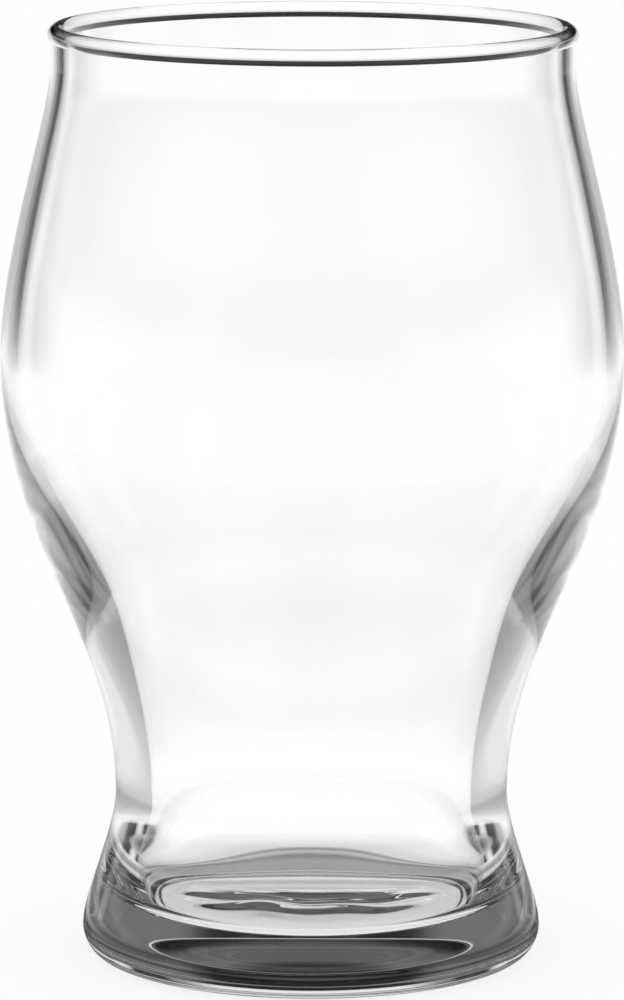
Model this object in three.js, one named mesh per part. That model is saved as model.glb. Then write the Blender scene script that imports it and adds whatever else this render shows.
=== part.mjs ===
// Tasting glass: a small tulip-shaped taster on a flared, heavy foot, pressed and blown in clear glass.
// Millimetres, +Z up. The origin is on the table, under the middle of the glass.
// It is drawn as the four zones it is formed in, each resting on the next by a flat ring:
// the fire-polished rim bead, the blown bowl, the flared foot and the solid sham base under its floor.

import * as THREE from 'three';

// Heights, from the table up to the floor and waist, and from the lip down to the belly.
const GLASS_HEIGHT = 92;
const HEEL_HEIGHT = 2.8;
const FLOOR_HEIGHT = 4.75;
const WAIST_HEIGHT = 16;
const SHOULDER_HEIGHT = 28.35;
const NECK_LENGTH = 2.45;

// Outside radii.
const FOOT_RADIUS = 22.65;
const WAIST_RADIUS = 19.37;
const BELLY_RADIUS = 30.5;
const NECK_RADIUS = 25.52;

// Walls, measured level.
const FOOT_WALL = 4.35;
const WAIST_WALL = 3.6;
const BELLY_WALL = 1.7;
const NECK_WALL = 1.25;

// Rim, floor corner and underside.
const BEAD_THICKNESS = 1.8;
const CORNER_WIDTH = 2.1;
const CORNER_RISE = 1.9;
const HEEL_WIDTH = 2.17;
const BEARING_WIDTH = 3.3;
const PUSH_UP_DEPTH = 0.5;
const PUSH_UP_ROUND = 1.6;

// Fullness: the share of a curve's rise over which it stays near upright at its low and its high end.
const FLARE_FULLNESS = { low: 0.205, high: 0.289 };
const WELL_FULLNESS = { low: 0.44, high: 0.44 };
const BOWL_FULLNESS = { low: 0.375, high: 0.435 };
const INSIDE_FULLNESS = { low: 0.48, high: 0.418 };
const SHOULDER_FULLNESS = { low: 0.355, high: 0.165 };

// Facets round the glass, and steps along each curve of its outline.
const FACETS = 48;
const BOWL_STEPS = 10;
const SHOULDER_STEPS = 6;
const FOOT_STEPS = 5;
const ROUND_STEPS = 5;
const BEAD_STEPS = 10;
const SAME_POINT = 1e-6;
const SAME_PARAMETER = 1e-12;

const GLASS_COLOUR = 0xf3f6f5;
const GLASS_ROUGHNESS = 0.03;
const GLASS_OPACITY = 0.35;

// The bead is a round lip centred on the neck's wall and cut flat where it sits on it.
const beadRadius = BEAD_THICKNESS / 2;
const beadCentre = new THREE.Vector2(NECK_RADIUS - NECK_WALL / 2, GLASS_HEIGHT - beadRadius);
const beadSeatAngle = Math.acos(Math.min(NECK_WALL, BEAD_THICKNESS) / BEAD_THICKNESS);
const seatHeight = beadCentre.y - beadRadius * Math.sin(beadSeatAngle);

// Outside and inside of the bowl at the levels where its wall stands upright.
const neckHeight = seatHeight - NECK_LENGTH;
const bellyHeight = neckHeight - SHOULDER_HEIGHT;
const neckInside = NECK_RADIUS - NECK_WALL;
const bellyInside = BELLY_RADIUS - BELLY_WALL;
const waistInside = WAIST_RADIUS - WAIST_WALL;

// A curve that leaves a low ring and reaches a high ring upright at both.
function upright(lowRadius, lowHeight, highRadius, highHeight, fullness) {
  const rise = highHeight - lowHeight;
  return new THREE.CubicBezierCurve(
    new THREE.Vector2(lowRadius, lowHeight),
    new THREE.Vector2(lowRadius, lowHeight + fullness.low * rise),
    new THREE.Vector2(highRadius, highHeight - fullness.high * rise),
    new THREE.Vector2(highRadius, highHeight),
  );
}

// Where along an upright curve a height is reached, by halving.
function parameterAt(curve, height) {
  let below = 0;
  let above = 1;
  while (above - below > SAME_PARAMETER) {
    const middle = (below + above) / 2;
    if (curve.getPoint(middle).y < height) {
      below = middle;
    } else {
      above = middle;
    }
  }
  return above;
}

// Points along a stretch of a curve, in either direction.
function stretch(curve, from, to, steps) {
  const points = [];
  for (let step = 0; step <= steps; step += 1) {
    points.push(curve.getPoint(THREE.MathUtils.lerp(from, to, step / steps)));
  }
  return points;
}

// Points along an arc, or a quarter of an ellipse, about a centre.
function arc(centreRadius, centreHeight, width, height, from, to, steps) {
  return new THREE.EllipseCurve(centreRadius, centreHeight, width, height, from, to, to < from).getPoints(steps);
}

// An outline from runs of points, each taken up where the last one ends.
function outline(...runs) {
  return runs.flat().filter((point, index, all) => index === 0 || point.distanceTo(all[index - 1]) > SAME_POINT);
}

// A zone of the glass turned about the upright axis. An outline clear of the axis closes on itself.
function turned(name, points) {
  const closed = points[0].x < SAME_POINT ? points : [...points, points[0].clone()];
  const geometry = new THREE.LatheGeometry(closed, FACETS).rotateX(Math.PI / 2);
  const material = new THREE.MeshStandardMaterial({
    color: GLASS_COLOUR,
    roughness: GLASS_ROUGHNESS,
    metalness: 0,
    transparent: true,
    opacity: GLASS_OPACITY,
  });
  const mesh = new THREE.Mesh(geometry, material);
  mesh.name = name;
  return mesh;
}

// The flare runs from the heel up to the waist on the outside of the base and the foot.
const flare = upright(FOOT_RADIUS, HEEL_HEIGHT, WAIST_RADIUS, WAIST_HEIGHT, FLARE_FULLNESS);

// The floor turns up into the wall through a round corner. Base and foot meet level with the middle of it.
const cornerHeight = FLOOR_HEIGHT + CORNER_RISE;
const wellRadius = flare.getPoint(parameterAt(flare, cornerHeight)).x - FOOT_WALL;
const cornerCentre = wellRadius - CORNER_WIDTH;
const CORNER_MIDDLE = -Math.PI / 4;
const joinHeight = cornerHeight + CORNER_RISE * Math.sin(CORNER_MIDDLE);
const join = parameterAt(flare, joinHeight);

function cornerArc(from, to) {
  return arc(cornerCentre, cornerHeight, CORNER_WIDTH, CORNER_RISE, from, to, ROUND_STEPS);
}

function rimBead() {
  const start = -beadSeatAngle;
  const end = Math.PI + beadSeatAngle;
  return turned('rim_bead', arc(beadCentre.x, beadCentre.y, beadRadius, beadRadius, start, end, BEAD_STEPS));
}

function bowl() {
  const outsideCup = upright(WAIST_RADIUS, WAIST_HEIGHT, BELLY_RADIUS, bellyHeight, BOWL_FULLNESS);
  const outsideShoulder = upright(BELLY_RADIUS, bellyHeight, NECK_RADIUS, neckHeight, SHOULDER_FULLNESS);
  const insideShoulder = upright(bellyInside, bellyHeight, neckInside, neckHeight, SHOULDER_FULLNESS);
  const insideCup = upright(waistInside, WAIST_HEIGHT, bellyInside, bellyHeight, INSIDE_FULLNESS);
  return turned('bowl', outline(
    stretch(outsideCup, 0, 1, BOWL_STEPS),
    stretch(outsideShoulder, 0, 1, SHOULDER_STEPS),
    [new THREE.Vector2(NECK_RADIUS, seatHeight), new THREE.Vector2(neckInside, seatHeight)],
    stretch(insideShoulder, 1, 0, SHOULDER_STEPS),
    stretch(insideCup, 1, 0, BOWL_STEPS),
  ));
}

function foot() {
  const well = upright(wellRadius, cornerHeight, waistInside, WAIST_HEIGHT, WELL_FULLNESS);
  return turned('foot', outline(
    stretch(flare, join, 1, FOOT_STEPS),
    stretch(well, 1, 0, FOOT_STEPS),
    cornerArc(0, CORNER_MIDDLE),
  ));
}

function shamBase() {
  const bearingOutside = FOOT_RADIUS - HEEL_WIDTH;
  const bearingInside = bearingOutside - BEARING_WIDTH;
  return turned('sham_base', outline(
    [new THREE.Vector2(0, PUSH_UP_DEPTH)],
    arc(bearingInside - PUSH_UP_ROUND, 0, PUSH_UP_ROUND, PUSH_UP_DEPTH, Math.PI / 2, 0, ROUND_STEPS),
    arc(bearingOutside, HEEL_HEIGHT, HEEL_WIDTH, HEEL_HEIGHT, -Math.PI / 2, 0, ROUND_STEPS),
    stretch(flare, 0, join, FOOT_STEPS),
    cornerArc(CORNER_MIDDLE, -Math.PI / 2),
    [new THREE.Vector2(0, FLOOR_HEIGHT)],
  ));
}

const tastingGlass = new THREE.Group();
tastingGlass.name = 'tasting_glass';
tastingGlass.add(rimBead(), bowl(), foot(), shamBase());

export default tastingGlass;
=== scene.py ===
"""Tasting glass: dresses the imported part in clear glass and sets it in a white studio.

Metres, +Z up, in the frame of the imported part. Four pieces of glass, each a profile carried round the upright
axis, stand for the four nodes of the part. Where two of them meet, both faces let light straight through, so
that light passes from piece to piece as it does in one body of glass.
"""

import math
from typing import Callable, NamedTuple, Optional

import bpy
import numpy as np
from bpy.props import FloatProperty, FloatVectorProperty, IntProperty, PointerProperty
from bpy.types import Operator, Panel, PropertyGroup
from mathutils import Matrix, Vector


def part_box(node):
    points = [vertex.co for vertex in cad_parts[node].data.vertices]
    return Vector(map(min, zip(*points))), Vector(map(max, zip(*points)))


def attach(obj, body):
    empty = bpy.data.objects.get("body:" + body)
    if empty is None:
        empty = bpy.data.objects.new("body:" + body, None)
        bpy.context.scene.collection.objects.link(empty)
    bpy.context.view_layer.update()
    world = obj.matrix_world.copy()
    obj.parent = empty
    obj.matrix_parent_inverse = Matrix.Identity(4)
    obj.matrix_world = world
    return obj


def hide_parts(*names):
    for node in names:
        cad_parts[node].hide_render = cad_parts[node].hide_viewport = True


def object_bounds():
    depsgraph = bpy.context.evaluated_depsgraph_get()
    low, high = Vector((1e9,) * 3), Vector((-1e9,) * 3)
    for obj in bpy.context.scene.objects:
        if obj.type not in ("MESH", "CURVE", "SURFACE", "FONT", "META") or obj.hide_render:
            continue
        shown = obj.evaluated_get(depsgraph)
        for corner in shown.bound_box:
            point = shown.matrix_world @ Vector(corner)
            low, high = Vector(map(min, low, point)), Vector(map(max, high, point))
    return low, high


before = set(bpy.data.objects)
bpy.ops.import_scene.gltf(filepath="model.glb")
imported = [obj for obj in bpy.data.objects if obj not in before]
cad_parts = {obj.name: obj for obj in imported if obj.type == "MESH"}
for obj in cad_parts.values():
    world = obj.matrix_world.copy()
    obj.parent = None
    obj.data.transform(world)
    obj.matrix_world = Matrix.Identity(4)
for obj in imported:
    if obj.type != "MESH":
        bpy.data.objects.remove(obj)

bl_info = {
    "name": "Tasting Glass",
    "version": (1, 0, 0),
    "blender": (4, 5, 0),
    "location": "View3D > Sidebar > Tasting Glass",
    "description": "Builds a clear tulip tasting glass and the white studio it stands in",
    "category": "Add Mesh",
}

MM = 0.001
BODY = "root"

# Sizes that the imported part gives.
CAD_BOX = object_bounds()
GLASS_HEIGHT = CAD_BOX[1].z
BEAD_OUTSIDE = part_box("rim_bead")[1].x
SEAT_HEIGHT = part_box("bowl")[1].z
BELLY_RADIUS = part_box("bowl")[1].x
WAIST_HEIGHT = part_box("bowl")[0].z
JOIN_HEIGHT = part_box("foot")[0].z
FOOT_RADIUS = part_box("sham_base")[1].x


# Kinds of property


def length(name, description, default):
    """A size in metres."""
    return FloatProperty(name=name, description=description, default=default, precision=5, unit="LENGTH")


def angle(name, description, default):
    """An angle, written in degrees and kept in radians."""
    return FloatProperty(name=name, description=description, default=math.radians(default), subtype="ANGLE")


def share(name, description, default):
    """A share from none, 0, to all, 1."""
    return FloatProperty(
        name=name, description=description, default=default, min=0.0, max=1.0, subtype="FACTOR")


def colour(name, description, default):
    """A linear colour."""
    return FloatVectorProperty(
        name=name, description=description, default=default, size=3, min=0.0, max=1.0, subtype="COLOR")


class GlassShape(PropertyGroup):
    """Sizes of the glass."""

    height: length("Height", "Table to lip", GLASS_HEIGHT)
    seat_height: length("Bead Seat Height", "Where the rim bead sits on the neck", SEAT_HEIGHT)
    waist_height: length("Waist Height", "Where bowl and foot meet, at the narrowest ring", WAIST_HEIGHT)
    join_height: length("Base Join Height", "Where foot and base meet, in the well's corner", JOIN_HEIGHT)
    floor_height: length("Floor Height", "Top of the floor above the table", 4.75 * MM)
    heel_height: length("Heel Height", "Mould line round the heel above the table", 2.8 * MM)
    shoulder_height: length("Shoulder Height", "Belly to neck", 28.35 * MM)
    neck_length: length("Neck Length", "Upright stretch under the rim bead", 2.45 * MM)

    bead_outside: length("Bead Radius", "Outside of the rim bead", BEAD_OUTSIDE)
    belly_radius: length("Belly Radius", "Outside of the widest ring", BELLY_RADIUS)
    waist_radius: length("Waist Radius", "Outside of the narrowest ring", 19.37 * MM)
    foot_radius: length("Foot Radius", "Outside of the heel", FOOT_RADIUS)

    bead_thickness: length("Bead Thickness", "Across the round lip", 1.8 * MM)
    neck_wall: length("Neck Wall", "Wall under the rim bead", 1.25 * MM)
    belly_wall: length("Belly Wall", "Wall at the widest ring", 1.7 * MM)
    waist_wall: length("Waist Wall", "Wall at the narrowest ring", 3.6 * MM)
    foot_wall: length("Foot Wall", "Wall above the corner of the well", 4.35 * MM)
    corner_rise: length("Corner Rise", "Height of the round between the floor and the well", 1.9 * MM)
    corner_width: length("Corner Width", "Level reach of the round between the floor and the well", 2.1 * MM)
    heel_width: length("Heel Width", "Level reach of the round under the mould line", 2.17 * MM)
    bearing_width: length("Bearing Width", "Flat ring that stands on the table", 3.3 * MM)
    push_up_depth: length("Push-up Depth", "Rise of the flat underside over the bearing ring", 0.5 * MM)
    push_up_round: length("Push-up Round", "Level reach of the round at the edge of the push-up", 1.6 * MM)
    seam_ledge: length("Seam Ledge", "How far the heel stands out under the mould line", 0.03 * MM)

    flare_low: share("Flare, Low End", "Fullness of the flare above the heel", 0.205)
    flare_high: share("Flare, High End", "Fullness of the flare under the waist", 0.289)
    well_fullness: share("Well", "Fullness of the well at both ends", 0.44)
    bowl_low: share("Bowl, Low End", "Fullness of the bowl above the waist", 0.375)
    bowl_high: share("Bowl, High End", "Fullness of the bowl under the belly", 0.435)
    inside_low: share("Inside, Low End", "Fullness of the inside above the waist", 0.48)
    inside_high: share("Inside, High End", "Fullness of the inside under the belly", 0.418)
    shoulder_low: share("Shoulder, Low End", "Fullness of the shoulder above the belly", 0.355)
    shoulder_high: share("Shoulder, High End", "Fullness of the shoulder under the neck", 0.165)

    ripple_depth: length("Ripple Depth", "Height of the waves that pressing leaves in the floor", 0.5 * MM)
    ripple_length: length("Ripple Length", "Crest to crest, from front to back", 9 * MM)
    ripple_back: length("Ripple Back", "Where the waves start to die out, from the middle", -6 * MM)

    facets: IntProperty(name="Facets", description="Faces round the glass", default=192, min=3)
    step: length("Step", "Longest step along an outline", 0.4 * MM)


class GlassFinish(PropertyGroup):
    """Colour and surface of the glass."""

    thin_tint: colour("Thin Tint", "Colour where the glass is cleanest", (1.0, 1.0, 1.0))
    thick_tint: colour("Thick Tint", "Colour in the streaks", (0.99, 0.995, 0.993))
    ior: FloatProperty(name="IOR", description="Refraction of soda-lime glass", default=1.52, min=1.0)
    haze: share("Haze", "Roughness of the dullest patches of the polished surface", 0.012)
    blown_wave: length("Blown Wave", "Depth of the long waves in the blown wall", 0.004 * MM)
    pressed_wave: length("Pressed Wave", "Depth of the short waves in the pressed foot", 0.0005 * MM)


class Studio(PropertyGroup):
    """Camera, floor and light."""

    camera_distance: length("Camera Distance", "Level distance from the glass's axis", 600 * MM)
    camera_height: length("Camera Height", "Lens above the table", 148.82 * MM)
    camera_pitch: angle("Camera Pitch", "How far the camera looks down", 9.803)
    camera_roll: angle("Camera Roll", "Turn of the picture about its middle", 0.14)
    focal_length: FloatProperty(
        name="Focal Length", description="On a 36 mm frame", default=222.97, unit="CAMERA")
    floor_radius: length("Floor Radius", "Pale disc that the glass stands on", 180 * MM)
    floor_gap: length("Floor Gap", "Air under the bearing ring", 0.02 * MM)
    floor_colour: colour("Floor Colour", "White of the table", (1.0, 1.0, 1.0))
    # Painted light: the table glows by itself, with no lamp under it. The glow lightens its shadow and the
    # table under the foot.
    floor_painted_glow: share("Floor Glow", "Share of the table's white that comes from light under it", 0.8)
    # Power on the painted contact shadow where the glass mirrors it.
    mirror_depth: FloatProperty(
        name="Mirror Depth", description="How much deeper the contact shadow is where the glass mirrors it",
        default=2.5)
    shadow_light: share("Shadow Light", "Light that reaches the table through the glass", 0.85)


# Outlines

# Steps along the short stretches of an outline.
LIP_STEPS = 48
NECK_STEPS = 4
CORNER_STEPS = 12
FLANK_STEPS = 16
LEDGE_STEPS = 2
HEEL_STEPS = 24
BEARING_STEPS = 4
PUSH_UP_STEPS = 16

# Fewest steps along a long stretch, and samples that invert a curve.
FEWEST_STEPS = 4
CURVE_SAMPLES = 2000

# Angles on a round of the outline, from level.
UP = math.pi / 2
HALF_DOWN = -math.pi / 4
DOWN = -math.pi / 2

# Swells of the pressed floor: where the first starts, in radians, how far each leans, and how much lower they
# are at the right edge. Each wave that bends them has a size in radians, a pace as a share of the swells'
# own, and a start.
SWELL_START = 1.1
SWELL_LEAN = 0.33
SWELL_FALL = 0.25
SWELL_BENDS = ((0.5, 0.42, 0.5), (0.3, 1.15, 2.2))
SLOPE_STEP = 0.001 * MM


class Run(NamedTuple):
    """A stretch of an outline: points as radius and height, and the way it heads at each of them."""

    points: np.ndarray
    headings: np.ndarray
    is_join: bool = False
    relief: Optional[Callable] = None


def cubic(poles, start=0.0, end=1.0, steps=1):
    """Bezier cubic on four poles, from one share of its parameter to another."""
    a, b, c, d = (np.asarray(pole, float) for pole in poles)
    t = np.linspace(start, end, steps + 1)[:, None]
    s = 1 - t
    points = a * s ** 3 + 3 * b * s ** 2 * t + 3 * c * s * t ** 2 + d * t ** 3
    headings = (b - a) * s ** 2 + 2 * (c - b) * s * t + (d - c) * t ** 2
    return Run(points, headings * math.copysign(1, end - start))


def upright_poles(low, high, low_fullness, high_fullness):
    """Poles of a curve between two rings that stands upright at both: each inner pole lies straight above or
    below its ring, by its fullness times the rise."""
    rise = high[1] - low[1]
    return low, (low[0], low[1] + low_fullness * rise), (high[0], high[1] - high_fullness * rise), high


def steps_for(size, step):
    """Steps no longer than step along a stretch of that size."""
    return max(FEWEST_STEPS, math.ceil(size / step))


def parameter_at(poles, height):
    """Where an upright curve reaches a height, by inverting its rising heights."""
    t = np.linspace(0, 1, CURVE_SAMPLES + 1)
    return float(np.interp(height, cubic(poles, steps=CURVE_SAMPLES).points[:, 1], t))


def arc(centre, reach, start, end, steps):
    """Stretch of an ellipse: the centre plus its reach times cosine and sine of the angle."""
    turn = np.linspace(start, end, steps + 1)[:, None]
    reach = np.asarray(reach, float)
    points = np.asarray(centre, float) + reach * np.hstack([np.cos(turn), np.sin(turn)])
    headings = reach * np.hstack([-np.sin(turn), np.cos(turn)])
    return Run(points, headings * math.copysign(1, end - start))


def straight(start, end, steps=1, is_join=False, relief=None):
    """Straight stretch in even steps."""
    t = np.linspace(0, 1, steps + 1)[:, None]
    way = np.asarray(end, float) - np.asarray(start, float)
    return Run(np.asarray(start, float) + t * way, np.repeat(way[None], steps + 1, axis=0), is_join, relief)


class Levels(NamedTuple):
    """Radii and heights that follow from the sizes."""

    neck_radius: float
    neck_inside: float
    neck_height: float
    belly_height: float
    belly_inside: float
    waist_inside: float
    well_radius: float
    corner_height: float
    corner_centre: float
    bead_seat_angle: float


def flare_poles(shape):
    """The outside of base and foot, from the ledge over the heel up to the waist."""
    low = (shape.foot_radius - shape.seam_ledge, shape.heel_height)
    return upright_poles(low, (shape.waist_radius, shape.waist_height), shape.flare_low, shape.flare_high)


def levels(shape):
    """The bead is centred on the neck's wall. The well lies one foot wall inside the flare."""
    neck_radius = shape.bead_outside - shape.bead_thickness / 2 + shape.neck_wall / 2
    neck_height = shape.seat_height - shape.neck_length
    corner_height = shape.floor_height + shape.corner_rise
    flare = flare_poles(shape)
    outside = cubic(flare, parameter_at(flare, corner_height), 1).points[0, 0]
    return Levels(
        neck_radius=neck_radius,
        neck_inside=neck_radius - shape.neck_wall,
        neck_height=neck_height,
        belly_height=neck_height - shape.shoulder_height,
        belly_inside=shape.belly_radius - shape.belly_wall,
        waist_inside=shape.waist_radius - shape.waist_wall,
        well_radius=outside - shape.foot_wall,
        corner_height=corner_height,
        corner_centre=outside - shape.foot_wall - shape.corner_width,
        bead_seat_angle=math.acos(shape.neck_wall / shape.bead_thickness),
    )


def rim_bead_runs(shape):
    """A round lip, cut flat where it sits on the neck."""
    at = levels(shape)
    radius = shape.bead_thickness / 2
    centre = (shape.bead_outside - radius, shape.height - radius)
    lip = arc(centre, (radius, radius), -at.bead_seat_angle, math.pi + at.bead_seat_angle, LIP_STEPS)
    return [lip, straight(lip.points[-1], lip.points[0], is_join=True)]


def bowl_runs(shape):
    """Up the outside from the waist over belly and shoulder to the neck, and down the inside."""
    at = levels(shape)
    low, belly = shape.waist_height, at.belly_height
    cup = steps_for(belly - low, shape.step)
    shoulder = steps_for(at.neck_height - belly, shape.step)

    def side(waist, widest, neck, low_fullness, high_fullness):
        """Curves from the waist to the belly and on to the neck, through rings of those radii."""
        bulge = upright_poles((waist, low), (widest, belly), low_fullness, high_fullness)
        narrowing = upright_poles(
            (widest, belly), (neck, at.neck_height), shape.shoulder_low, shape.shoulder_high)
        return bulge, narrowing

    outside = side(shape.waist_radius, shape.belly_radius, at.neck_radius, shape.bowl_low, shape.bowl_high)
    inside = side(at.waist_inside, at.belly_inside, at.neck_inside, shape.inside_low, shape.inside_high)
    seat = shape.seat_height
    return [
        cubic(outside[0], 0, 1, cup),
        cubic(outside[1], 0, 1, shoulder),
        straight((at.neck_radius, at.neck_height), (at.neck_radius, seat), NECK_STEPS),
        straight((at.neck_radius, seat), (at.neck_inside, seat), is_join=True),
        straight((at.neck_inside, seat), (at.neck_inside, at.neck_height), NECK_STEPS),
        cubic(inside[1], 1, 0, shoulder),
        cubic(inside[0], 1, 0, cup),
        straight((at.waist_inside, low), (shape.waist_radius, low), is_join=True),
    ]


def foot_runs(shape):
    """Up the flare to the waist, and down the well to the middle of its round corner."""
    at = levels(shape)
    flare = flare_poles(shape)
    well = upright_poles(
        (at.well_radius, at.corner_height), (at.waist_inside, shape.waist_height),
        shape.well_fullness, shape.well_fullness)
    steps = steps_for(shape.waist_height - shape.join_height, shape.step)
    outside = cubic(flare, parameter_at(flare, shape.join_height), 1, steps)
    corner_place = (at.corner_centre, at.corner_height)
    corner_reach = (shape.corner_width, shape.corner_rise)
    corner = arc(corner_place, corner_reach, 0, HALF_DOWN, CORNER_STEPS)
    return [
        outside,
        straight(outside.points[-1], (at.waist_inside, shape.waist_height), is_join=True),
        cubic(well, 1, 0, steps),
        corner,
        straight(corner.points[-1], outside.points[0], is_join=True),
    ]


def floor_relief(shape, radius):
    """Swells left in the pressed floor. A swell is the sine of a phase that grows from front to back, less a
    share of the sine of twice that phase, so that it rises slowly and falls fast. Slower and faster sines of
    the way across bend the phase, and the swells are lower on the right. They fade to nothing at the edge, by
    the square of one less the fourth power of the share of the radius, and towards the back by a smooth step
    over one swell. Gives the height and its slopes along X and Y."""
    pace = 2 * math.pi / shape.ripple_length

    def height(x, y):
        """The swell at a place, times its depth and both fades."""
        out = np.clip((x * x + y * y) / radius ** 2, 0, 1)
        behind = np.clip((y - shape.ripple_back) / shape.ripple_length, 0, 1)
        bend = sum(size * np.sin(rate * pace * x + start) for size, rate, start in SWELL_BENDS)
        phase = pace * y + bend + SWELL_START
        swell = (np.sin(phase) - SWELL_LEAN * np.sin(2 * phase)) * (1 - SWELL_FALL * x / radius)
        return shape.ripple_depth * swell * (1 - out ** 2) ** 2 * (1 - behind ** 2 * (3 - 2 * behind))

    def relief(x, y):
        """Height and slopes, each slope from the heights one small step to either side."""
        near = SLOPE_STEP
        slope_x = (height(x + near, y) - height(x - near, y)) / (2 * near)
        slope_y = (height(x, y + near) - height(x, y - near)) / (2 * near)
        return height(x, y), slope_x, slope_y

    return relief


def sham_base_runs(shape):
    """From the middle of the push-up out to the bearing ring, round the heel, up to the join and over the
    floor."""
    at = levels(shape)
    bearing_outside = shape.foot_radius - shape.heel_width
    bearing_inside = bearing_outside - shape.bearing_width
    flat_edge = bearing_inside - shape.push_up_round
    push_up = (shape.push_up_round, shape.push_up_depth)
    flare = flare_poles(shape)
    flank = cubic(flare, 0, parameter_at(flare, shape.join_height), FLANK_STEPS)
    heel_top = (shape.foot_radius, shape.heel_height)
    corner_place = (at.corner_centre, at.corner_height)
    corner_reach = (shape.corner_width, shape.corner_rise)
    corner = arc(corner_place, corner_reach, HALF_DOWN, DOWN, CORNER_STEPS)
    heel_place = (bearing_outside, shape.heel_height)
    heel_reach = (shape.heel_width, shape.heel_height)
    flat_steps = steps_for(flat_edge, shape.step)
    floor_steps = steps_for(at.corner_centre, shape.step / 2)
    relief = floor_relief(shape, at.corner_centre)
    return [
        straight((0, shape.push_up_depth), (flat_edge, shape.push_up_depth), flat_steps),
        arc((flat_edge, 0), push_up, UP, 0, PUSH_UP_STEPS),
        straight((bearing_inside, 0), (bearing_outside, 0), BEARING_STEPS),
        arc(heel_place, heel_reach, DOWN, 0, HEEL_STEPS),
        straight(heel_top, flank.points[0], LEDGE_STEPS),
        flank,
        straight(flank.points[-1], corner.points[0], is_join=True),
        corner,
        straight(corner.points[-1], (0, shape.floor_height), floor_steps, relief=relief),
    ]


# Surfaces


def swept(run, facets):
    """Carries a run round the upright axis: a place is the radius along the direction out plus the height,
    and its normal is the heading turned a quarter to the right. A relief lifts the places, and its slopes tip
    the normals."""
    turn = np.linspace(0, 2 * math.pi, facets, endpoint=False)
    out = np.stack([np.cos(turn), np.sin(turn), np.zeros(facets)], axis=-1)
    up = np.array([0.0, 0.0, 1.0])
    places = run.points[:, None, :1] * out + run.points[:, None, 1:] * up
    heading = run.headings / np.linalg.norm(run.headings, axis=1, keepdims=True)
    normals = heading[:, None, 1:] * out - heading[:, None, :1] * up
    if run.relief:
        height, slope_x, slope_y = run.relief(places[..., 0], places[..., 1])
        places[..., 2] += height
        normals = normals - np.stack([slope_x, slope_y, np.zeros_like(height)], axis=-1)
        normals /= np.linalg.norm(normals, axis=-1, keepdims=True)
    return places, normals


def turned_mesh(name, runs, facets):
    """Closed mesh of an outline carried round the axis. An outline that starts on the axis also ends there,
    and each of these ends is one vertex with a fan of triangles. Each run brings its own normals, so that a
    crease shows only where two runs meet at an angle."""
    grids = [swept(run, facets) for run in runs]
    rows = np.concatenate([places[:-1] for places, _ in grids])
    has_poles = runs[0].points[0, 0] == 0
    rings = rows[1:] if has_poles else rows
    vertices = rings.reshape(-1, 3)
    index = np.arange(len(vertices)).reshape(-1, facets)
    if has_poles:
        low, high = grids[0][0][0, :1], grids[-1][0][-1, :1]
        vertices = np.concatenate([vertices, low, high])
        low_row = np.full((1, facets), len(vertices) - 2)
        high_row = np.full((1, facets), len(vertices) - 1)
        index = np.concatenate([low_row, index, high_row])
    else:
        index = np.concatenate([index, index[:1]])
    along = np.roll(index, -1, axis=1)
    faces = np.stack([index[:-1], along[:-1], along[1:], index[1:]], axis=-1)
    start = np.concatenate([normals[:-1] for _, normals in grids])
    end = np.concatenate([normals[1:] for _, normals in grids])
    corners = np.stack([start, np.roll(start, -1, axis=1), np.roll(end, -1, axis=1), end], axis=2)
    finish = np.concatenate([np.full(len(run.points) - 1, run.is_join) for run in runs])

    first, last = (1, len(faces) - 1) if has_poles else (0, len(faces))
    polygons = faces[first:last].reshape(-1, 4).tolist()
    normals = [corners[first:last].reshape(-1, 3)]
    order = [np.repeat(finish[first:last], facets)]
    if has_poles:
        low_fan, high_fan = [0, 2, 3], [0, 1, 2]
        polygons += faces[0][:, low_fan].tolist() + faces[-1][:, high_fan].tolist()
        normals += [corners[0][:, low_fan].reshape(-1, 3), corners[-1][:, high_fan].reshape(-1, 3)]
        order += [np.repeat(finish[[0, -1]], facets)]

    mesh = bpy.data.meshes.new(name)
    mesh.from_pydata(vertices.tolist(), [], polygons)
    mesh.polygons.foreach_set("material_index", np.concatenate(order).astype(np.int32))
    mesh.shade_smooth()
    mesh.normals_split_custom_set(np.concatenate(normals))
    mesh.validate()
    return mesh


# Materials

# How many waves of the glass go into a metre, about.
BLOWN_WAVE_SCALE = 45.0
PRESSED_WAVE_SCALE = 90.0


def add_node(tree, kind, place, **values):
    """A node of that kind, with its properties set by name."""
    node = tree.nodes.new(kind)
    node.location = place
    for key, value in values.items():
        setattr(node, key, value)
    return node


def set_inputs(node, **values):
    """Fills a node's inputs by name, with spaces written as underscores."""
    for key, value in values.items():
        node.inputs[key.replace("_", " ")].default_value = value


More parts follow.
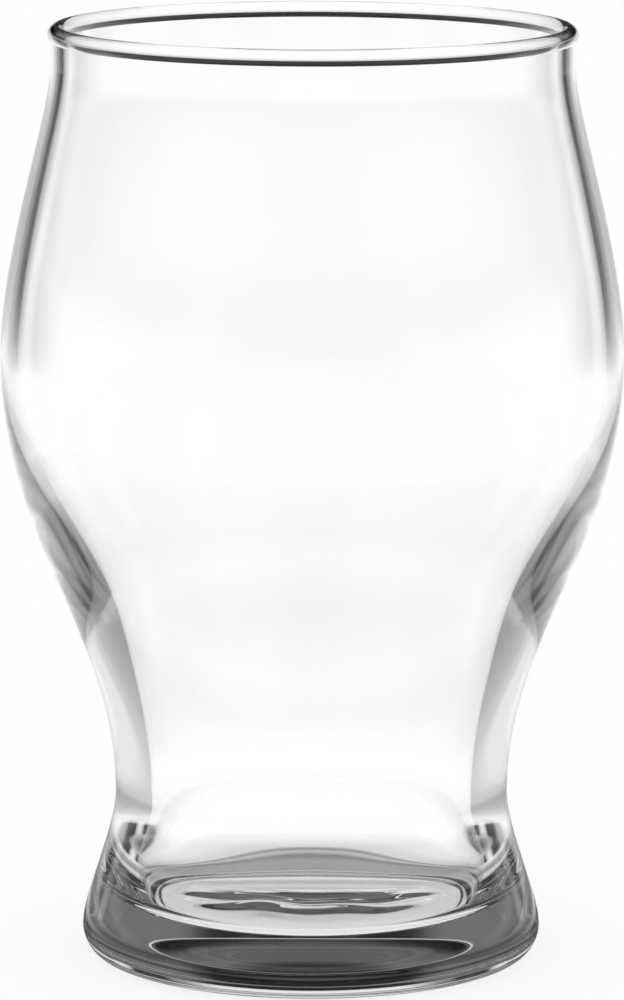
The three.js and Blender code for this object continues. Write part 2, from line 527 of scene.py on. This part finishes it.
def glass_skin_group():
    """Node group for the surface of formed glass: long upright streaks, a patchy haze and where the tint
    shows."""
    name = "Glass Skin"
    if name in bpy.data.node_groups:
        return bpy.data.node_groups[name]
    tree = bpy.data.node_groups.new(name, "ShaderNodeTree")
    sockets = tree.interface
    sockets.new_socket("Vector", in_out="INPUT", socket_type="NodeSocketVector")
    sockets.new_socket("Wave Scale", in_out="INPUT", socket_type="NodeSocketFloat")
    sockets.new_socket("Haze", in_out="INPUT", socket_type="NodeSocketFloat")
    sockets.new_socket("Height", in_out="OUTPUT", socket_type="NodeSocketFloat")
    sockets.new_socket("Roughness", in_out="OUTPUT", socket_type="NodeSocketFloat")
    sockets.new_socket("Tint", in_out="OUTPUT", socket_type="NodeSocketFloat")
    given = add_node(tree, "NodeGroupInput", (-800, 0))
    result = add_node(tree, "NodeGroupOutput", (400, 0))

    stretch = add_node(tree, "ShaderNodeMapping", (-600, 200))
    stretch.inputs["Scale"].default_value = (1.0, 1.0, 0.4)
    waves = add_node(tree, "ShaderNodeTexNoise", (-350, 200))
    set_inputs(waves, Detail=1.0, Roughness=0.4)
    patches = add_node(tree, "ShaderNodeTexNoise", (-350, -100))
    set_inputs(patches, Scale=140.0, Detail=3.0)
    haze = add_node(tree, "ShaderNodeMapRange", (0, -100), interpolation_type="SMOOTHSTEP")
    set_inputs(haze, From_Min=0.45, From_Max=0.8, To_Min=0.0)
    tint = add_node(tree, "ShaderNodeMapRange", (0, -400), interpolation_type="SMOOTHSTEP")
    set_inputs(tint, From_Min=0.35, From_Max=0.65)

    tree.links.new(given.outputs["Vector"], stretch.inputs["Vector"])
    tree.links.new(stretch.outputs["Vector"], waves.inputs["Vector"])
    tree.links.new(given.outputs["Wave Scale"], waves.inputs["Scale"])
    tree.links.new(given.outputs["Vector"], patches.inputs["Vector"])
    tree.links.new(patches.outputs["Fac"], haze.inputs["Value"])
    tree.links.new(given.outputs["Haze"], haze.inputs["To Max"])
    tree.links.new(waves.outputs["Fac"], tint.inputs["Value"])
    tree.links.new(waves.outputs["Fac"], result.inputs["Height"])
    tree.links.new(haze.outputs["Result"], result.inputs["Roughness"])
    tree.links.new(tint.outputs["Result"], result.inputs["Tint"])
    return tree


def glass_material(name, finish, wave_scale, wave_depth):
    """Clear glass with its own waves. Tint, haze and waves come from the shared skin."""
    if name in bpy.data.materials:
        return bpy.data.materials[name]
    material = bpy.data.materials.new(name)
    material.use_nodes = True
    tree = material.node_tree
    shader = tree.nodes["Principled BSDF"]
    shader.inputs["IOR"].default_value = finish.ior
    shader.inputs["Transmission Weight"].default_value = 1.0

    place = add_node(tree, "ShaderNodeTexCoord", (-900, 0))
    skin = add_node(tree, "ShaderNodeGroup", (-650, 0), node_tree=glass_skin_group())
    set_inputs(skin, Wave_Scale=wave_scale, Haze=finish.haze)
    tint = add_node(tree, "ShaderNodeMix", (-350, 200), data_type="RGBA")
    tint.inputs["A"].default_value = (*finish.thin_tint, 1.0)
    tint.inputs["B"].default_value = (*finish.thick_tint, 1.0)
    bump = add_node(tree, "ShaderNodeBump", (-350, -200))
    set_inputs(bump, Strength=1.0, Distance=wave_depth)

    tree.links.new(place.outputs["Object"], skin.inputs["Vector"])
    tree.links.new(skin.outputs["Tint"], tint.inputs["Factor"])
    tree.links.new(tint.outputs["Result"], shader.inputs["Base Color"])
    tree.links.new(skin.outputs["Roughness"], shader.inputs["Roughness"])
    tree.links.new(skin.outputs["Height"], bump.inputs["Height"])
    tree.links.new(bump.outputs["Normal"], shader.inputs["Normal"])
    return material


def join_material():
    """The faces where two pieces meet in one body of glass, which show nothing."""
    name = "inside_the_glass"
    if name in bpy.data.materials:
        return bpy.data.materials[name]
    material = bpy.data.materials.new(name)
    material.use_nodes = True
    material.node_tree.nodes["Principled BSDF"].inputs["Alpha"].default_value = 0.0
    return material


def blown_glass(finish):
    """Glass of the bowl and the lip, with long waves."""
    return glass_material("blown_glass", finish, BLOWN_WAVE_SCALE, finish.blown_wave)


def pressed_glass(finish):
    """Glass of the foot and the base, with short waves."""
    return glass_material("pressed_glass", finish, PRESSED_WAVE_SCALE, finish.pressed_wave)


# Pieces


def add_piece(context, name, node, runs, material):
    """Puts a piece of glass in the scene in place of its node."""
    piece = bpy.data.objects.new(name, turned_mesh(name, runs, context.scene.glass_shape.facets))
    piece.data.materials.append(material)
    piece.data.materials.append(join_material())
    context.collection.objects.link(piece)
    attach(piece, BODY)
    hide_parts(node)


class AddRimBead(Operator):
    """Add the fire-polished round lip"""

    bl_idname = "tasting_glass.add_rim_bead"
    bl_label = "Rim Bead"
    bl_options = {"REGISTER", "UNDO"}

    def execute(self, context):
        scene = context.scene
        add_piece(context, "glass_rim_bead", "rim_bead", rim_bead_runs(scene.glass_shape),
                  blown_glass(scene.glass_finish))
        return {"FINISHED"}


class AddBowl(Operator):
    """Add the blown bowl from the waist to the neck"""

    bl_idname = "tasting_glass.add_bowl"
    bl_label = "Bowl"
    bl_options = {"REGISTER", "UNDO"}

    def execute(self, context):
        scene = context.scene
        add_piece(context, "glass_bowl", "bowl", bowl_runs(scene.glass_shape),
                  blown_glass(scene.glass_finish))
        return {"FINISHED"}


class AddFoot(Operator):
    """Add the flared foot under the waist"""

    bl_idname = "tasting_glass.add_foot"
    bl_label = "Foot"
    bl_options = {"REGISTER", "UNDO"}

    def execute(self, context):
        scene = context.scene
        add_piece(context, "glass_foot", "foot", foot_runs(scene.glass_shape),
                  pressed_glass(scene.glass_finish))
        return {"FINISHED"}


class AddShamBase(Operator):
    """Add the solid base with its floor, heel and underside"""

    bl_idname = "tasting_glass.add_sham_base"
    bl_label = "Sham Base"
    bl_options = {"REGISTER", "UNDO"}

    def execute(self, context):
        scene = context.scene
        add_piece(context, "glass_sham_base", "sham_base", sham_base_runs(scene.glass_shape),
                  pressed_glass(scene.glass_finish))
        return {"FINISHED"}


# Studio

# Brightness of the studio by elevation in degrees, as the glass mirrors and bends it: a white table that dims
# towards the horizon, a wall that is darkest at its foot, and a dim ceiling.
NADIR = -90
ZENITH = 90
STUDIO_BANDS = (
    (-90, 1.08),
    (-12, 1.08),
    (-9, 1.05),
    (-6, 0.98),
    (-4, 0.95),
    (0, 0.88),
    (2.2, 0.6),
    (4.4, 0.25),
    (5.8, 0.05),
    (7.5, 0.05),
    (11.5, 0.17),
    (30, 0.16),
    (60, 0.12),
    (90, 0.1),
)

# Brightness by angle in degrees off the nearest of the four axes of the table, up to the diagonal. Between
# axis and diagonal the table is a little shaded, and a dark post stands on the horizon. The wall is darkest
# on the axes.
DIAGONAL = 45
TABLE_PANELS = ((0, 1.0), (13, 1.0), (22, 0.86), (34, 0.86), (41, 1.0), (45, 1.0))
POST_PANELS = ((0, 1.0), (15, 1.0), (26, 0.3), (30, 0.05), (39, 0.05), (43, 0.8), (45, 1.0))
WALL_PANELS = ((0, 0.08), (16, 0.08), (27, 1.0), (45, 1.0))

# Share of the posts and of the wall by elevation in degrees, and how far behind the glass a direction has to
# point for the posts to stand there in full.
POST_BANDS = ((-10, 0.0), (-5, 1.0), (1, 1.0), (3, 0.0))
WALL_BANDS = ((3, 0.0), (5, 1.0), (40, 1.0), (60, 0.0))
POSTS_AHEAD = 0.3

# Painted shade of the table, which the glass shows, by distance from the axis in millimetres: a painted
# contact shadow round the foot, with a paler painted ring in it, then white, and a little brighter farther out.
TABLE_SHADE = (
    (0, 1.0),
    (20, 1.0),
    (23, 0.42),
    (27, 0.42),
    (28, 0.3),
    (29, 0.3),
    (29.6, 0.53),
    (31, 0.55),
    (31.5, 0.32),
    (32.6, 0.34),
    (34.5, 0.75),
    (40, 0.97),
    (50, 1.1),
    (180, 1.1),
)

# Painted shade on top, where a wall of the glass has led the light sideways, by the same distance.
GUIDED_SHADE = (
    (0, 1.0),
    (38, 1.0),
    (52, 0.25),
    (70, 0.33),
    (80, 0.42),
    (93, 0.6),
    (105, 0.62),
    (122, 0.66),
    (140, 0.95),
    (180, 1.0),
)

# How often light has been mirrored or bent on its way: more than never, and more than by a wall's two faces.
ANY = 0.5
WHOLE_WALL = 2.5

LIGHT_BOUNCES = 64


def fill_ramp(node, stops, low, high, interpolation="LINEAR"):
    """Sets a colour ramp to grey stops, given as value and brightness, over the values from low to high."""
    ramp = node.color_ramp
    ramp.interpolation = interpolation
    while len(ramp.elements) < len(stops):
        ramp.elements.new(1.0)
    for element, (value, brightness) in zip(ramp.elements, stops):
        element.position = (value - low) / (high - low)
        element.color = (brightness, brightness, brightness, 1.0)


def studio_panels_group():
    """Node group for the light round the table: the bearing of a direction, folded at the axes and the
    diagonals, picks the brightness of the table, of the posts and of the wall."""
    name = "Studio Panels"
    if name in bpy.data.node_groups:
        return bpy.data.node_groups[name]
    tree = bpy.data.node_groups.new(name, "ShaderNodeTree")
    tree.interface.new_socket("Vector", in_out="INPUT", socket_type="NodeSocketVector")
    tree.interface.new_socket("Table", in_out="OUTPUT", socket_type="NodeSocketFloat")
    tree.interface.new_socket("Posts", in_out="OUTPUT", socket_type="NodeSocketFloat")
    tree.interface.new_socket("Wall", in_out="OUTPUT", socket_type="NodeSocketFloat")
    given = add_node(tree, "NodeGroupInput", (-1000, 0))
    result = add_node(tree, "NodeGroupOutput", (200, 0))
    parts = add_node(tree, "ShaderNodeSeparateXYZ", (-800, 0))
    bearing = add_node(tree, "ShaderNodeMath", (-600, 0), operation="ARCTAN2")
    folded = add_node(tree, "ShaderNodeMath", (-400, 0), operation="PINGPONG")
    folded.inputs[1].default_value = math.radians(DIAGONAL)
    spread = add_node(tree, "ShaderNodeMath", (-250, 0), operation="DIVIDE")
    spread.inputs[1].default_value = math.radians(DIAGONAL)
    link = tree.links.new
    link(given.outputs["Vector"], parts.inputs["Vector"])
    link(parts.outputs["X"], bearing.inputs[0])
    link(parts.outputs["Y"], bearing.inputs[1])
    link(bearing.outputs["Value"], folded.inputs[0])
    link(folded.outputs["Value"], spread.inputs[0])
    panels = {"Table": TABLE_PANELS, "Posts": POST_PANELS, "Wall": WALL_PANELS}
    for row, (kind, stops) in enumerate(panels.items()):
        ramp = add_node(tree, "ShaderNodeValToRGB", (-100, 150 - 300 * row))
        fill_ramp(ramp, stops, 0, DIAGONAL, "EASE")
        link(spread.outputs["Value"], ramp.inputs["Fac"])
        link(ramp.outputs["Color"], result.inputs[kind])
    return tree


def stray_light_group():
    """Node group that tells light mirrored in the glass: stray once it has crossed a whole wall, and guided
    before that, when a wall has led it sideways."""
    name = "Stray Light"
    if name in bpy.data.node_groups:
        return bpy.data.node_groups[name]
    tree = bpy.data.node_groups.new(name, "ShaderNodeTree")
    tree.interface.new_socket("Glossy Depth", in_out="INPUT", socket_type="NodeSocketFloat")
    tree.interface.new_socket("Transmission Depth", in_out="INPUT", socket_type="NodeSocketFloat")
    tree.interface.new_socket("Stray", in_out="OUTPUT", socket_type="NodeSocketFloat")
    tree.interface.new_socket("Guided", in_out="OUTPUT", socket_type="NodeSocketFloat")
    given = add_node(tree, "NodeGroupInput", (-600, 0))
    result = add_node(tree, "NodeGroupOutput", (200, 0))
    mirrored = add_node(tree, "ShaderNodeMath", (-400, 100), operation="GREATER_THAN")
    mirrored.inputs[1].default_value = ANY
    crossed = add_node(tree, "ShaderNodeMath", (-400, -100), operation="GREATER_THAN")
    crossed.inputs[1].default_value = WHOLE_WALL
    both = add_node(tree, "ShaderNodeMath", (-200, 0), operation="MULTIPLY")
    rest = add_node(tree, "ShaderNodeMath", (-200, -200), operation="SUBTRACT", use_clamp=True)
    link = tree.links.new
    link(given.outputs["Glossy Depth"], mirrored.inputs[0])
    link(given.outputs["Transmission Depth"], crossed.inputs[0])
    for node in (both, rest):
        link(mirrored.outputs["Value"], node.inputs[0])
        link(crossed.outputs["Value"], node.inputs[1])
    link(both.outputs["Value"], result.inputs["Stray"])
    link(rest.outputs["Value"], result.inputs["Guided"])
    return tree


def painted_table_shade(tree, studio, reach, path):
    """Nodes for the painted shade of the table as the glass shows it: the painted contact shadow, to a higher
    power where the glass has mirrored it, times the painted shade where a wall has led the light sideways.
    Gives the brightness."""
    spread = add_node(tree, "ShaderNodeMath", (-850, -450), operation="DIVIDE")
    spread.inputs[1].default_value = studio.floor_radius
    shade = add_node(tree, "ShaderNodeValToRGB", (-700, -450))
    fill_ramp(shade, TABLE_SHADE, 0, studio.floor_radius / MM, "EASE")
    guided_shade = add_node(tree, "ShaderNodeValToRGB", (-700, 0))
    fill_ramp(guided_shade, GUIDED_SHADE, 0, studio.floor_radius / MM, "EASE")
    mirrored = add_node(tree, "ShaderNodeMath", (-900, 800), operation="GREATER_THAN")
    mirrored.inputs[1].default_value = ANY
    deeper = add_node(tree, "ShaderNodeMath", (-700, 800), operation="MULTIPLY_ADD")
    deeper.inputs[1].default_value = studio.mirror_depth
    deeper.inputs[2].default_value = 1.0
    contact = add_node(tree, "ShaderNodeMath", (-500, -450), operation="POWER")
    mirror_kind = add_node(tree, "ShaderNodeGroup", (-900, 1000), node_tree=stray_light_group())
    sideways = add_node(tree, "ShaderNodeMix", (-550, 200), data_type="FLOAT")
    sideways.inputs["A"].default_value = 1.0
    in_shade = add_node(tree, "ShaderNodeMath", (-450, 0), operation="MULTIPLY")

    link = tree.links.new
    link(reach.outputs["Value"], spread.inputs[0])
    link(spread.outputs["Value"], shade.inputs["Fac"])
    link(spread.outputs["Value"], guided_shade.inputs["Fac"])
    link(path.outputs["Glossy Depth"], mirrored.inputs[0])
    link(mirrored.outputs["Value"], deeper.inputs[0])
    link(shade.outputs["Color"], contact.inputs[0])
    link(deeper.outputs["Value"], contact.inputs[1])
    link(path.outputs["Glossy Depth"], mirror_kind.inputs["Glossy Depth"])
    link(path.outputs["Transmission Depth"], mirror_kind.inputs["Transmission Depth"])
    link(mirror_kind.outputs["Guided"], sideways.inputs["Factor"])
    link(guided_shade.outputs["Color"], sideways.inputs["B"])
    link(sideways.outputs["Result"], in_shade.inputs[0])
    link(contact.outputs["Value"], in_shade.inputs[1])
    return in_shade.outputs["Value"]


def floor_material(studio):
    """White table that takes the shadow of the glass and fades out before its edge. A share of its white is a
    painted glow of its own, which lightens that shadow. The glass shows it with painted shades."""
    material = bpy.data.materials.new("studio_floor")
    material.use_nodes = True
    material.cycles.emission_sampling = "NONE"
    tree = material.node_tree
    shader = tree.nodes["Principled BSDF"]
    # The painted glow: the table emits a share of its own white.
    set_inputs(shader, Roughness=1.0, Specular_IOR_Level=0.0, Emission_Strength=studio.floor_painted_glow)
    place = add_node(tree, "ShaderNodeTexCoord", (-1200, 0))
    reach = add_node(tree, "ShaderNodeVectorMath", (-1000, -200), operation="LENGTH")
    path = add_node(tree, "ShaderNodeLightPath", (-1000, 600))
    in_glass = add_node(tree, "ShaderNodeMath", (-700, 500), operation="MAXIMUM")
    # For rays from the glass, the table's white gives way to the painted shade.
    white = add_node(tree, "ShaderNodeMix", (-400, 200), data_type="RGBA")
    white.inputs["A"].default_value = (*studio.floor_colour, 1.0)
    painted = add_node(tree, "ShaderNodeMix", (-200, 200), data_type="RGBA")
    set_inputs(painted, Factor=studio.floor_painted_glow)
    painted.inputs["B"].default_value = (0.0, 0.0, 0.0, 1.0)
    fade = add_node(tree, "ShaderNodeMapRange", (-700, -200), interpolation_type="SMOOTHSTEP")
    set_inputs(fade, From_Min=studio.floor_radius / 2, From_Max=studio.floor_radius, To_Min=1.0, To_Max=0.0)

    link = tree.links.new
    link(place.outputs["Object"], reach.inputs[0])
    link(path.outputs["Is Glossy Ray"], in_glass.inputs[0])
    link(path.outputs["Is Transmission Ray"], in_glass.inputs[1])
    link(in_glass.outputs["Value"], white.inputs["Factor"])
    link(painted_table_shade(tree, studio, reach, path), white.inputs["B"])
    link(white.outputs["Result"], painted.inputs["A"])
    link(painted.outputs["Result"], shader.inputs["Base Color"])
    link(white.outputs["Result"], shader.inputs["Emission Color"])
    link(reach.outputs["Value"], fade.inputs["Value"])
    link(fade.outputs["Result"], shader.inputs["Alpha"])
    return material


def add_floor(context, studio):
    """Flat disc: rings of growing radius carried round the axis, a little under the bearing ring."""
    facets, rings = 96, 24
    reach = studio.floor_radius * np.linspace(0, 1, rings + 1)[1:, None] ** 2
    turn = np.linspace(0, 2 * math.pi, facets, endpoint=False)
    level = np.full((rings, facets), -studio.floor_gap)
    disc = np.stack([reach * np.cos(turn), reach * np.sin(turn), level], axis=-1)
    vertices = np.concatenate([disc.reshape(-1, 3), [[0, 0, -studio.floor_gap]]])
    index = np.arange(rings * facets).reshape(rings, facets)
    along = np.roll(index, -1, axis=1)
    quads = np.stack([index[:-1], index[1:], along[1:], along[:-1]], axis=-1).reshape(-1, 4)
    fan = np.stack([np.full(facets, rings * facets), index[0], along[0]], axis=-1)
    mesh = bpy.data.meshes.new("studio_floor")
    mesh.from_pydata(vertices.tolist(), [], quads.tolist() + fan.tolist())
    mesh.materials.append(floor_material(studio))
    floor = bpy.data.objects.new("studio_floor", mesh)
    context.collection.objects.link(floor)


def add_camera(context, studio):
    """Looks along +Y from in front, a little above the glass."""
    camera = bpy.data.cameras.new("Camera")
    camera.lens = studio.focal_length
    camera.clip_start = 10 * MM
    eye = bpy.data.objects.new("Camera", camera)
    place = Matrix.Translation((0, -studio.camera_distance, studio.camera_height))
    tilt = Matrix.Rotation(math.pi / 2 - studio.camera_pitch, 4, "X")
    eye.matrix_world = place @ tilt @ Matrix.Rotation(studio.camera_roll, 4, "Z")
    context.collection.objects.link(eye)
    context.scene.camera = eye


def studio_in_glass(tree, path):
    """Nodes for the studio as the glass shows it: its bands by elevation, times the panel of the table, of
    the posts or of the wall. The posts stand behind the glass only, and stray light doesn't show them. Gives
    the brightness."""
    way = add_node(tree, "ShaderNodeTexCoord", (-1400, 0))
    parts = add_node(tree, "ShaderNodeSeparateXYZ", (-1200, 200))
    rise = add_node(tree, "ShaderNodeMath", (-1000, 200), operation="ARCSINE")
    spread = add_node(tree, "ShaderNodeMapRange", (-800, 200))
    set_inputs(spread, From_Min=-math.pi / 2, From_Max=math.pi / 2)
    bands = add_node(tree, "ShaderNodeValToRGB", (-600, 200))
    fill_ramp(bands, STUDIO_BANDS, NADIR, ZENITH)
    post_bands = add_node(tree, "ShaderNodeValToRGB", (-800, -300))
    fill_ramp(post_bands, POST_BANDS, NADIR, ZENITH, "EASE")
    wall_bands = add_node(tree, "ShaderNodeValToRGB", (-800, -850))
    fill_ramp(wall_bands, WALL_BANDS, NADIR, ZENITH, "EASE")
    panels = add_node(tree, "ShaderNodeGroup", (-1000, -100), node_tree=studio_panels_group())
    stray = add_node(tree, "ShaderNodeGroup", (-800, -600), node_tree=stray_light_group())
    ahead = add_node(tree, "ShaderNodeMapRange", (-800, -1100))
    set_inputs(ahead, From_Min=0.0, From_Max=POSTS_AHEAD)
    standing = add_node(tree, "ShaderNodeMath", (-700, -400), operation="MULTIPLY")
    seen = add_node(tree, "ShaderNodeMath", (-600, -400), operation="SUBTRACT", use_clamp=True)
    low = add_node(tree, "ShaderNodeMix", (-500, -100), data_type="FLOAT")
    round_about = add_node(tree, "ShaderNodeMix", (-350, -100), data_type="FLOAT")
    strength = add_node(tree, "ShaderNodeMath", (-200, 100), operation="MULTIPLY")

    link = tree.links.new
    link(way.outputs["Generated"], parts.inputs["Vector"])
    link(way.outputs["Generated"], panels.inputs["Vector"])
    link(parts.outputs["Z"], rise.inputs[0])
    link(rise.outputs["Value"], spread.inputs["Value"])
    for ramp in (bands, post_bands, wall_bands):
        link(spread.outputs["Result"], ramp.inputs["Fac"])
    link(path.outputs["Glossy Depth"], stray.inputs["Glossy Depth"])
    link(path.outputs["Transmission Depth"], stray.inputs["Transmission Depth"])
    link(parts.outputs["Y"], ahead.inputs["Value"])
    link(post_bands.outputs["Color"], standing.inputs[0])
    link(ahead.outputs["Result"], standing.inputs[1])
    link(standing.outputs["Value"], seen.inputs[0])
    link(stray.outputs["Stray"], seen.inputs[1])
    link(seen.outputs["Value"], low.inputs["Factor"])
    link(panels.outputs["Table"], low.inputs["A"])
    link(panels.outputs["Posts"], low.inputs["B"])
    link(wall_bands.outputs["Color"], round_about.inputs["Factor"])
    link(low.outputs["Result"], round_about.inputs["A"])
    link(panels.outputs["Wall"], round_about.inputs["B"])
    link(bands.outputs["Color"], strength.inputs[0])
    link(round_about.outputs["Result"], strength.inputs[1])
    return strength.outputs["Value"]


def add_light(context, studio):
    """World light: plain white to the camera and to the table, a little dimmed where it comes to the table
    through the glass. The glass itself sees the studio."""
    world = bpy.data.worlds.new("studio_light")
    context.scene.world = world
    world.use_nodes = True
    tree = world.node_tree
    tree.nodes.clear()
    path = add_node(tree, "ShaderNodeLightPath", (-400, 500))
    plain = add_node(tree, "ShaderNodeMath", (-200, 500), operation="MAXIMUM")
    lit = add_node(tree, "ShaderNodeMath", (0, 600), operation="GREATER_THAN")
    lit.inputs[1].default_value = ANY
    white = add_node(tree, "ShaderNodeBackground", (0, 300))
    set_inputs(white, Color=(1.0, 1.0, 1.0, 1.0), Strength=1.0)
    in_glass = add_node(tree, "ShaderNodeBackground", (0, 100))
    set_inputs(in_glass, Color=(1.0, 1.0, 1.0, 1.0))
    dimmed = add_node(tree, "ShaderNodeBackground", (0, -100))
    set_inputs(dimmed, Color=(1.0, 1.0, 1.0, 1.0), Strength=studio.shadow_light)
    through = add_node(tree, "ShaderNodeMixShader", (200, 0))
    choose = add_node(tree, "ShaderNodeMixShader", (400, 300))
    output = add_node(tree, "ShaderNodeOutputWorld", (600, 300))

    link = tree.links.new
    link(studio_in_glass(tree, path), in_glass.inputs["Strength"])
    link(path.outputs["Is Camera Ray"], plain.inputs[0])
    link(path.outputs["Is Diffuse Ray"], plain.inputs[1])
    link(path.outputs["Diffuse Depth"], lit.inputs[0])
    link(lit.outputs["Value"], through.inputs["Fac"])
    link(in_glass.outputs["Background"], through.inputs[1])
    link(dimmed.outputs["Background"], through.inputs[2])
    link(plain.outputs["Value"], choose.inputs["Fac"])
    link(through.outputs["Shader"], choose.inputs[1])
    link(white.outputs["Background"], choose.inputs[2])
    link(choose.outputs["Shader"], output.inputs["Surface"])


class AddStudio(Operator):
    """Add the camera, the pale floor and the studio light"""

    bl_idname = "tasting_glass.add_studio"
    bl_label = "Studio"
    bl_options = {"REGISTER", "UNDO"}

    def execute(self, context):
        scene = context.scene
        add_camera(context, scene.studio)
        add_floor(context, scene.studio)
        add_light(context, scene.studio)
        scene.view_settings.view_transform = "Standard"
        scene.cycles.max_bounces = LIGHT_BOUNCES
        scene.cycles.transmission_bounces = LIGHT_BOUNCES
        scene.cycles.glossy_bounces = LIGHT_BOUNCES
        scene.cycles.transparent_max_bounces = LIGHT_BOUNCES
        return {"FINISHED"}


# Add-on


class TastingGlassPanel(Panel):
    """Lists the pieces, the studio and their settings"""

    bl_idname = "VIEW3D_PT_tasting_glass"
    bl_label = "Tasting Glass"
    bl_space_type = "VIEW_3D"
    bl_region_type = "UI"
    bl_category = "Tasting Glass"

    def draw(self, context):
        layout = self.layout
        for operator in OPERATORS:
            layout.operator(operator.bl_idname)
        for settings in (context.scene.glass_shape, context.scene.glass_finish, context.scene.studio):
            box = layout.box()
            for key in settings.bl_rna.properties.keys():
                if key not in ("rna_type", "name"):
                    box.prop(settings, key)


OPERATORS = (AddStudio, AddShamBase, AddFoot, AddBowl, AddRimBead)
SETTINGS = {"glass_shape": GlassShape, "glass_finish": GlassFinish, "studio": Studio}
CLASSES = (*SETTINGS.values(), *OPERATORS, TastingGlassPanel)


def register():
    """Adds the classes, and their settings to every scene."""
    for cls in CLASSES:
        bpy.utils.register_class(cls)
    for key, group in SETTINGS.items():
        setattr(bpy.types.Scene, key, PointerProperty(type=group))


def unregister():
    """Takes the settings and the classes away again."""
    for key in SETTINGS:
        delattr(bpy.types.Scene, key)
    for cls in reversed(CLASSES):
        bpy.utils.unregister_class(cls)


def main():
    """Builds the studio and the glass."""
    register()
    bpy.ops.tasting_glass.add_studio()
    bpy.ops.tasting_glass.add_sham_base()
    bpy.ops.tasting_glass.add_foot()
    bpy.ops.tasting_glass.add_bowl()
    bpy.ops.tasting_glass.add_rim_bead()


if __name__ == "__main__":
    main()
